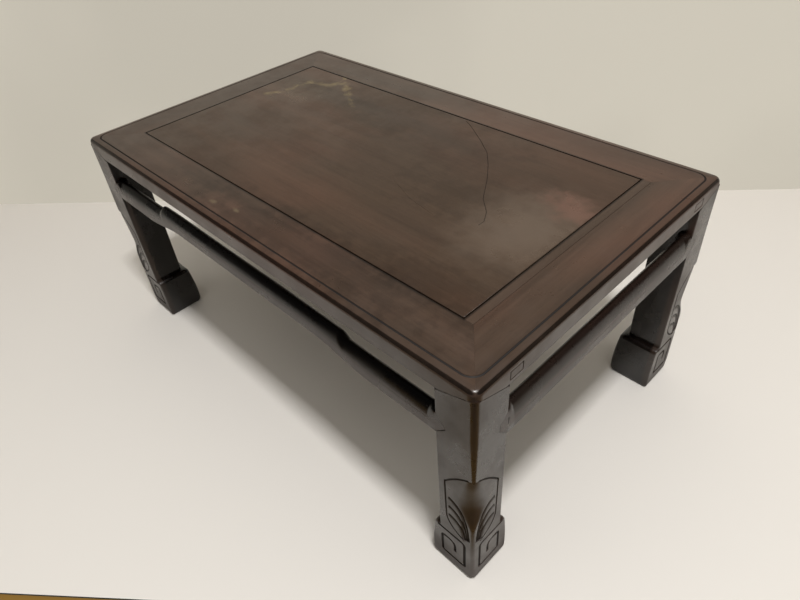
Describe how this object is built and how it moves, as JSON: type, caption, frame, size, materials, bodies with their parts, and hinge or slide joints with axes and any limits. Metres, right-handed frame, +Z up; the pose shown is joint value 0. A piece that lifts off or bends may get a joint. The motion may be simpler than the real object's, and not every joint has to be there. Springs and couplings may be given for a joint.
{
  "type": "bonsai stand",
  "caption": "Low dark hardwood bonsai stand with a framed panel top, raised stretchers and carved lappet legs on hoof feet.",
  "frame": {"origin": "on the floor, under the middle of the stand's plan", "axes": "+X along the long side, +Y along the short side away from the front, +Z up"},
  "size_m": [0.6, 0.36, 0.26],
  "materials": {
    "panel_wood": "rubbed wax, semi-gloss, with faint stains",
    "frame_wood": "rubbed wax, semi-gloss",
    "leg_wood": "rubbed wax, semi-gloss, dark in the cuts",
    "stretcher_wood": "rubbed wax, semi-gloss",
    "under_wood": "planed, unwaxed, matt"
  },
  "bodies": {
    "root": {"top_panel": "panel_wood", "panel_slip": "frame_wood", "stile_front": "frame_wood", "stile_back": "frame_wood", "rail_left": "frame_wood", "rail_right": "frame_wood", "batten_left": "under_wood", "batten_right": "under_wood", "leg_front_right": "leg_wood", "leg_front_left": "leg_wood", "leg_back_right": "leg_wood", "leg_back_left": "leg_wood", "stretcher_front": "stretcher_wood", "stretcher_back": "stretcher_wood", "stretcher_left": "stretcher_wood", "stretcher_right": "stretcher_wood"}
  },
  "joints": []
}
